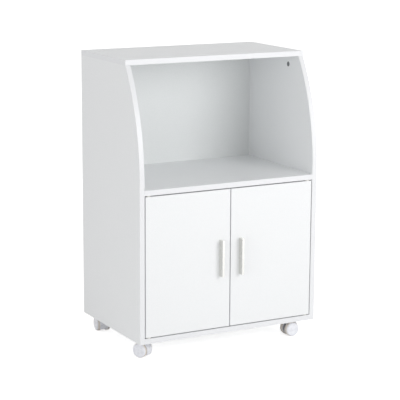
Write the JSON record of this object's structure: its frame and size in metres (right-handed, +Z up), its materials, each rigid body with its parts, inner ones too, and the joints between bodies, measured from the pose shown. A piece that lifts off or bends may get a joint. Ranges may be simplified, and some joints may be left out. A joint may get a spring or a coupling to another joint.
{
  "type": "microwave cart",
  "caption": "Free-standing kitchen cart: an open microwave bay with swept-back sides above a cupboard with hinged doors, on swivelling casters.",
  "frame": {"origin": "on the floor, under the middle of the box that the cart and its door handles fill", "axes": "+X to the right of someone facing the doors, the doors face -Y, +Z up"},
  "size_m": [0.6, 0.42, 0.88],
  "materials": {
    "white_laminate": "white melamine laminate on particle board, satin",
    "white_hardboard": "white lacquered hardboard",
    "die_cast_zinc": "bare die-cast zinc",
    "zinc_plated_steel": "bright zinc plating",
    "beech": "plain beech",
    "white_nylon": "moulded nylon",
    "ferrite": "sintered ferrite magnet",
    "satin_aluminium": "drawn aluminium, brushed along its length and clear anodised",
    "white_caster_plastic": "moulded white nylon, semi-gloss",
    "taupe_tread": "soft grey-brown tread"
  },
  "bodies": {
    "carcass": {"left_side_panel": "white_laminate", "right_side_panel": "white_laminate", "top_panel": "white_laminate", "microwave_shelf": "white_laminate", "bottom_panel": "white_laminate", "back_panel": "white_hardboard", "cam_locks": "die_cast_zinc", "cam_bolts": "zinc_plated_steel", "dowels": "beech", "back_panel_nails": "zinc_plated_steel", "pivot_pins": "zinc_plated_steel", "pivot_washers": "white_nylon", "catch_housing": "white_nylon", "catch_magnets": "ferrite", "catch_pole_plates": "zinc_plated_steel", "catch_screws": "zinc_plated_steel", "caster_plates": "zinc_plated_steel", "caster_kingpins": "zinc_plated_steel", "caster_screws": "zinc_plated_steel"},
    "left_door": {"left_door": "white_laminate", "left_handle": "satin_aluminium", "left_handle_screws": "zinc_plated_steel", "left_pivot_bushings": "white_nylon", "left_strike_plate": "zinc_plated_steel", "left_strike_screw": "zinc_plated_steel"},
    "right_door": {"right_door": "white_laminate", "right_handle": "satin_aluminium", "right_handle_screws": "zinc_plated_steel", "right_pivot_bushings": "white_nylon", "right_strike_plate": "zinc_plated_steel", "right_strike_screw": "zinc_plated_steel"},
    "front_left_caster": {"front_left_caster_hood": "white_caster_plastic", "front_left_caster_axle": "zinc_plated_steel"},
    "front_left_wheel_a": {"front_left_caster_wheel_a": "white_caster_plastic", "front_left_caster_tread_a": "taupe_tread"},
    "front_left_wheel_b": {"front_left_caster_wheel_b": "white_caster_plastic", "front_left_caster_tread_b": "taupe_tread"},
    "front_right_caster": {"front_right_caster_hood": "white_caster_plastic", "front_right_caster_axle": "zinc_plated_steel"},
    "front_right_wheel_a": {"front_right_caster_wheel_a": "white_caster_plastic", "front_right_caster_tread_a": "taupe_tread"},
    "front_right_wheel_b": {"front_right_caster_wheel_b": "white_caster_plastic", "front_right_caster_tread_b": "taupe_tread"},
    "rear_left_caster": {"rear_left_caster_hood": "white_caster_plastic", "rear_left_caster_axle": "zinc_plated_steel"},
    "rear_left_wheel_a": {"rear_left_caster_wheel_a": "white_caster_plastic", "rear_left_caster_tread_a": "taupe_tread"},
    "rear_left_wheel_b": {"rear_left_caster_wheel_b": "white_caster_plastic", "rear_left_caster_tread_b": "taupe_tread"},
    "rear_right_caster": {"rear_right_caster_hood": "white_caster_plastic", "rear_right_caster_axle": "zinc_plated_steel"},
    "rear_right_wheel_a": {"rear_right_caster_wheel_a": "white_caster_plastic", "rear_right_caster_tread_a": "taupe_tread"},
    "rear_right_wheel_b": {"rear_right_caster_wheel_b": "white_caster_plastic", "rear_right_caster_tread_b": "taupe_tread"}
  },
  "joints": [
    {"name": "left_door_hinge", "type": "hinge", "parent": "carcass", "child": "left_door", "pos_m": [-0.269, -0.183, 0.071], "axis": [0, 0, -1], "range_deg": [0, 110]},
    {"name": "right_door_hinge", "type": "hinge", "parent": "carcass", "child": "right_door", "pos_m": [0.269, -0.183, 0.071], "axis": [0, 0, 1], "range_deg": [0, 110]},
    {"name": "front_left_swivel", "type": "hinge", "parent": "carcass", "child": "front_left_caster", "pos_m": [-0.255, -0.142, 0.055], "axis": [0, 0, 1], "continuous": true},
    {"name": "front_left_wheel_a_spin", "type": "hinge", "parent": "front_left_caster", "child": "front_left_wheel_a", "pos_m": [-0.26242, -0.13013, 0.0225], "axis": [-0.848, -0.5299, 0], "continuous": true},
    {"name": "front_left_wheel_b_spin", "type": "hinge", "parent": "front_left_caster", "child": "front_left_wheel_b", "pos_m": [-0.26242, -0.13013, 0.0225], "axis": [-0.848, -0.5299, 0], "continuous": true},
    {"name": "front_right_swivel", "type": "hinge", "parent": "carcass", "child": "front_right_caster", "pos_m": [0.255, -0.142, 0.055], "axis": [0, 0, 1], "continuous": true},
    {"name": "front_right_wheel_a_spin", "type": "hinge", "parent": "front_right_caster", "child": "front_right_wheel_a", "pos_m": [0.241, -0.142, 0.0225], "axis": [0, -1, 0], "continuous": true},
    {"name": "front_right_wheel_b_spin", "type": "hinge", "parent": "front_right_caster", "child": "front_right_wheel_b", "pos_m": [0.241, -0.142, 0.0225], "axis": [0, -1, 0], "continuous": true},
    {"name": "rear_left_swivel", "type": "hinge", "parent": "carcass", "child": "rear_left_caster", "pos_m": [-0.255, 0.162, 0.055], "axis": [0, 0, 1], "continuous": true},
    {"name": "rear_left_wheel_a_spin", "type": "hinge", "parent": "rear_left_caster", "child": "rear_left_wheel_a", "pos_m": [-0.25305, 0.17586, 0.0225], "axis": [-0.9903, 0.1392, 0], "continuous": true},
    {"name": "rear_left_wheel_b_spin", "type": "hinge", "parent": "rear_left_caster", "child": "rear_left_wheel_b", "pos_m": [-0.25305, 0.17586, 0.0225], "axis": [-0.9903, 0.1392, 0], "continuous": true},
    {"name": "rear_right_swivel", "type": "hinge", "parent": "carcass", "child": "rear_right_caster", "pos_m": [0.255, 0.162, 0.055], "axis": [0, 0, 1], "continuous": true},
    {"name": "rear_right_wheel_a_spin", "type": "hinge", "parent": "rear_right_caster", "child": "rear_right_wheel_a", "pos_m": [0.24288, 0.169, 0.0225], "axis": [-0.5, -0.866, 0], "continuous": true},
    {"name": "rear_right_wheel_b_spin", "type": "hinge", "parent": "rear_right_caster", "child": "rear_right_wheel_b", "pos_m": [0.24288, 0.169, 0.0225], "axis": [-0.5, -0.866, 0], "continuous": true}
  ]
}
